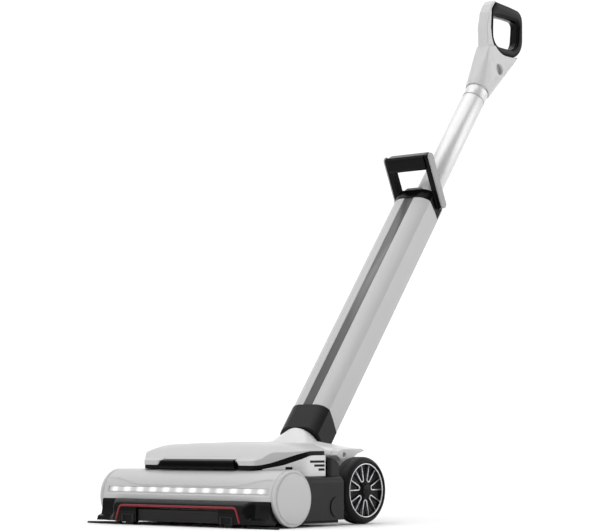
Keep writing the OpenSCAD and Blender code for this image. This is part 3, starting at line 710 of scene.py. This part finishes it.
def wheel_hub(label, place):
    points, faces = lathe([(0, 0), (10, 0), (10, 0.9), (9.2, 1.6), (3, 1.9), (0, 1.9)], SPOKES)
    place = place @ Matrix.Translation((0, 0, WHEEL_W - 2.2))
    add("wheel_hub_" + label, points, faces, place, BLACK, "wheel_" + label, ["hub_cap_" + label],
        0, 0.25, 2, 12)


def wheels():
    for label, flip in (("left", Matrix.Identity(4)), ("right", MIRROR)):
        place = flip @ on_axis(151.5 - WHEEL_W, 0, AXLE_Z) @ Matrix.Rotation(math.pi, 4, "Z")
        tyre(label, place)
        wheel_face(label, place)
        wheel_lines(label, place)
        wheel_hub(label, place)


# ---------- column ----------
COL_X = 35.7
COL_FRONT = 33.3
COL_BACK = -25
SEAM = -10
STRIPE_X = 8.7
TUBE_R = 18.75


def front_path(e):
    """The column's front half from +X round to -X, as (x, y), with e added all round."""
    side = [(COL_X + e, -SEAM), (COL_X + e, -SEAM - 16), (COL_X + e, -22 - e * 0.6)]
    corner = [(x, -n) for x, n in arc((14, 6.8), 26.5 + e, 35, 90, 14)]
    return side + corner[1:] + [(STRIPE_X + 1.2, -(COL_FRONT + e))]


def back_path(e):
    return [(COL_X + e, -SEAM), (33, -(SEAM - 3) + e * 0.5), (22, -(COL_BACK + 1.2) + e),
            (19, -COL_BACK + e), (8, -COL_BACK + e), (0, -COL_BACK + e)]


def both_ways(half):
    return half + [(-x, y) for x, y in half[::-1] if abs(x) > 1e-6]


def collar_top(y):
    return 127.5 - 31 * max(0, min((y + 30) / 58, 1.04)) ** 1.35


def cap_foot(y):
    if y < -28:
        return 538.5
    if y < 8:
        return 538.5 - 11.5 * ((y + 28) / 36) ** 1.6
    return 549


def swivel_plane(y):
    tilt = math.radians(20)
    return 74.4 + (0.4 - (y + 4.1) * math.sin(tilt)) / math.cos(tilt)


def wall_between(outer, inner, low, high):
    """A thin wall that follows two paths, its ends cut by heights that depend on y."""
    sections = [[(ax, ay, low(ay)), (ax, ay, high(ay)), (bx, by, high(ay)), (bx, by, low(ay))]
                for (ax, ay), (bx, by) in zip(outer, inner)]
    return rings(sections)


def above_collar(y):
    return collar_top(y) + 0.2


def column_front():
    outside, inside = front_path(0), front_path(-2.4)
    outside += [(STRIPE_X, -(COL_FRONT - 0.6)), (STRIPE_X, -(COL_FRONT - 1.2)), (0, -(COL_FRONT - 1.2))]
    inside += [(STRIPE_X, -30.9)] * 2 + [(0, -30.9)]
    points, faces = wall_between(both_ways(outside), both_ways(inside), above_collar,
                                 lambda y: cap_foot(y) - 0.3)
    add("column_front_shell", points, faces, COLUMN, SHELL, "column", ["column_shell"],
        0, 0.5, 3, 20)


def column_rear():
    outside = [(x, y + 0.15 if abs(x) > 35 else y) for x, y in back_path(0)]
    inside = [(x * 0.93, y - 2.4 if y > 12 else y) for x, y in back_path(0)]
    points, faces = wall_between(both_ways(outside), both_ways(inside), above_collar, lambda y: 548.6)
    add("column_rear_cover", points, faces, COLUMN, SHELL, "column", ["column_back"],
        0, 0.6, 3, 20)

    plate = [(x * 0.995, min(y, 24.6)) for x, y in both_ways(outside)]
    plate += [(x, max(y, 0.15 - SEAM)) for x, y in arc((0, 0), TUBE_R + 0.2, 180, 0, 24)]
    points, faces = upright(plate, 546.2, 548.8)
    add("column_rear_lid", points, faces, COLUMN, SHELL, "column", (), 0, 0.4, 2, 40)


def column_inlay():
    wide = STRIPE_X - 0.25
    section = [(-wide, -32.2), (-wide, -32.75), (-wide + 0.5, -33), (wide - 0.5, -33), (wide, -32.75),
               (wide, -32.2)]
    points, faces = upright(section, 127.8, 538.1)
    add("column_inlay", points, faces, COLUMN, STRIPE, "column", ["column_stripe"])


def collar():
    outline = both_ways(front_path(0.75)[:-1] + [(7, -(COL_FRONT + 0.75)), (0, -(COL_FRONT + 0.75))])
    rear = back_path(0.75)
    rear = [(-x, y) for x, y in rear[1:]] + [(x, y) for x, y in rear[-2:0:-1]]
    outline = outline + rear
    bottom = [(x, y, swivel_plane(y)) for x, y in outline]
    top = [(x, y, collar_top(y)) for x, y in outline]
    shrunk = [(x * 0.972, y * 0.968) for x, y in outline]
    lip = [(x, y, collar_top(oy)) for (x, y), (_, oy) in zip(shrunk, outline)]
    floor = [(x, y, collar_top(oy) - 6) for (x, y), (_, oy) in zip(shrunk, outline)]
    points, faces = rings([bottom, top, lip, floor])
    add("column_collar", points, faces, COLUMN, SATIN, "column", ["collar"], 0, 0.8, 3, 20)


def upper_tube():
    profile = [(TUBE_R - 1.6, 440), (TUBE_R, 440), (TUBE_R, 783), (TUBE_R - 0.35, 783.6),
               (TUBE_R - 0.35, 784.6), (TUBE_R, 785.2), (TUBE_R, 839.8), (TUBE_R - 1.6, 839.8)]
    points, faces = lathe(profile, 128)
    add("long_tube", points, faces, COLUMN, TUBE, "column", ["upper_tube"])
    ring = [(TUBE_R + 0.02, 785), (TUBE_R + 0.22, 785.2), (TUBE_R + 0.22, 786.4), (TUBE_R + 0.02, 786.6)]
    points, faces = lathe(ring, 128)
    add("tube_band", points, faces, COLUMN, COVER, "column", ["tube_ring"])


# ---------- grip ----------
def grip():
    outer = ([(530, 847.6), (573, 844.4)] + arc((591.9, 826), 17, 65, 0, 6) + arc((574, 792), 35, 0, -85, 8)
             + arc((552, 793), 36, -95, -165, 6) + [(514.7, 800), (517.2, 832)])
    inner = ([(523, 820), (560, 821.5)] + arc((587, 811), 10, 80, 10, 5) + arc((572, 793), 22, -15, -85, 6)
             + arc((541, 791), 20, -100, -170, 6))
    points, faces = hoop(outer, inner, (558, 798), 10.2)
    add("grip_hoop", points, faces, HEAD, BLACK, "column", ["grip_loop"])
    softened("grip_body", ["grip_housing"], GRIP, 0.8, 34, "column")

    place = HEAD @ Matrix.Translation((0, 527, 729.8)) @ Matrix.Rotation(math.pi / 2, 4, "Y")
    profile = [(0, 3), (3, 3), (3, 6), (8.5, 6)] + arc((7.3, 11), 1.2, 0, 90, 4) + [(4, 11.8), (0, 11.5)]
    points, faces = lathe(profile, 64)
    add("power_key", points, faces, place, COVER, "switch", ["power_button"])


# ---------- carry handle ----------
HANDLE = COLUMN @ Matrix.Translation((0, -2, 550)) @ Matrix.Rotation(math.atan2(67, 36), 4, "X")


def carry_handle():
    softened("carry_loop", ["carry_handle"], BLACK, 0.75, 7, "battery")
    bar = arc((5, 77.5), 5.5, 0, 90, 6) + arc((-5, 77.5), 5.5, 90, 180, 6)
    bar += arc((-4.5, 65), 6, 180, 270, 6) + arc((4.5, 65), 6, 270, 360, 6)
    points, faces = prism(bar, (-36, 36))
    add("carry_bar", points, faces, HANDLE, BLACK, "battery", (), 0, 1, 3, 40)
    capsule = arc((0, 78), 6.4, 0, 180, 16) + arc((0, -1), 6.4, 180, 360, 16)
    for side, label in ((1, "left"), (-1, "right")):
        points, faces = prism(capsule, sorted((side * 42.05, side * 45)))
        replaced = ["handle_side_covers"] if side > 0 else ()
        add("handle_cover_" + label, points, faces, HANDLE, COVER, "battery", replaced,
            0, 0.9)

    key = [(-17, -8), (17, -8)] + arc((12, 3), 5, 0, 90, 8) + arc((-12, 3), 5, 90, 180, 8)
    points, faces = prism(key, (-4.2, 4.2))
    turn = Matrix.Translation((0, -28.4, 553.5)) @ Matrix.Rotation(-math.pi / 2, 4, "Z")
    add("release_key", points, faces, COLUMN @ turn, STRIPE, "battery_button", ["release_button"],
        0, 1.6, 4)


hood()
lens()
lid()
lid_band()
latch()
end_cap("end_disc_left", "release_end_cap", "end_cap", False)
end_cap("end_disc_right", "fixed_end_cap", "floor_head", True)
bumper()
trim()
strips()
vent_panels()
wheels()
column_front()
column_rear()
column_inlay()
collar()
upper_tube()
grip()
carry_handle()
softened("yoke_neck", ["yoke_bridge"], WHITE, 1.1, 16, "yoke")
softened("yoke_side_left", ["yoke_arm_left"], WHITE, 0.8, 6, "yoke")
softened("yoke_side_right", ["yoke_arm_right"], WHITE, 0.8, 6, "yoke")
for name, width in (("chassis", 0.6), ("sole_plate", 0.4), ("front_gate", 0.4), ("dust_bin", 0.5)):
    soften_node(name, width)


# ---------- studio ----------
def studio():
    scene = bpy.context.scene
    scene.view_settings.view_transform = "Standard"
    world = bpy.data.worlds.new("studio")
    scene.world = world
    world.use_nodes = True
    tree = world.node_tree
    background = tree.nodes["Background"]
    background.inputs["Color"].default_value = grey(1.0)
    along = tree.nodes.new("ShaderNodeVectorMath")
    along.operation = "DOT_PRODUCT"
    along.inputs[1].default_value = (-0.64, 0.77, 0)
    fade = tree.nodes.new("ShaderNodeMapRange")
    fade.interpolation_type = "SMOOTHSTEP"
    for socket, number in (("From Min", 0.1), ("From Max", 0.75), ("To Min", 0.22), ("To Max", 1.08)):
        fade.inputs[socket].default_value = number
    coord = tree.nodes.new("ShaderNodeTexCoord")
    tree.links.new(coord.outputs["Generated"], along.inputs[0])
    tree.links.new(along.outputs["Value"], fade.inputs["Value"])
    tree.links.new(fade.outputs["Result"], background.inputs["Strength"])

    bpy.ops.mesh.primitive_plane_add(size=60, location=(0, 0, -0.0003))
    floor = bpy.context.object
    floor.name = "studio_floor"
    finish = Finish("studio_paper")
    finish.colour(finish.spread(finish.noise(0.6), 0, 1), grey(0.93), grey(0.96))
    finish.roughness(finish.spread(finish.noise(40), 0.75, 0.9))
    floor.data.materials.append(finish.material)

    def sun(name, azimuth, elevation, spread, energy):
        lamp = bpy.data.lights.new(name, "SUN")
        lamp.angle = math.radians(spread)
        lamp.energy = energy
        holder = bpy.data.objects.new(name, lamp)
        scene.collection.objects.link(holder)
        holder.rotation_euler = (0, math.radians(90 - elevation), math.radians(azimuth))

    sun("top", 200, 80, 70, 1.5)
    sun("key_left", -100, 30, 75, 1.0)
    sun("side_right", 40, 20, 50, 0.95)


def camera():
    lens = bpy.data.cameras.new("camera")
    lens.lens = 122.56
    lens.sensor_width = 36
    lens.clip_end = 100
    holder = bpy.data.objects.new("camera", lens)
    bpy.context.scene.collection.objects.link(holder)
    eye, target = Vector((1.9281, -2.4384, 0.1154)), Vector((0.0285, -0.1905, 0.3672))
    holder.location = eye
    holder.rotation_euler = (target - eye).to_track_quat("-Z", "Y").to_euler()
    bpy.context.scene.camera = holder


studio()
camera()
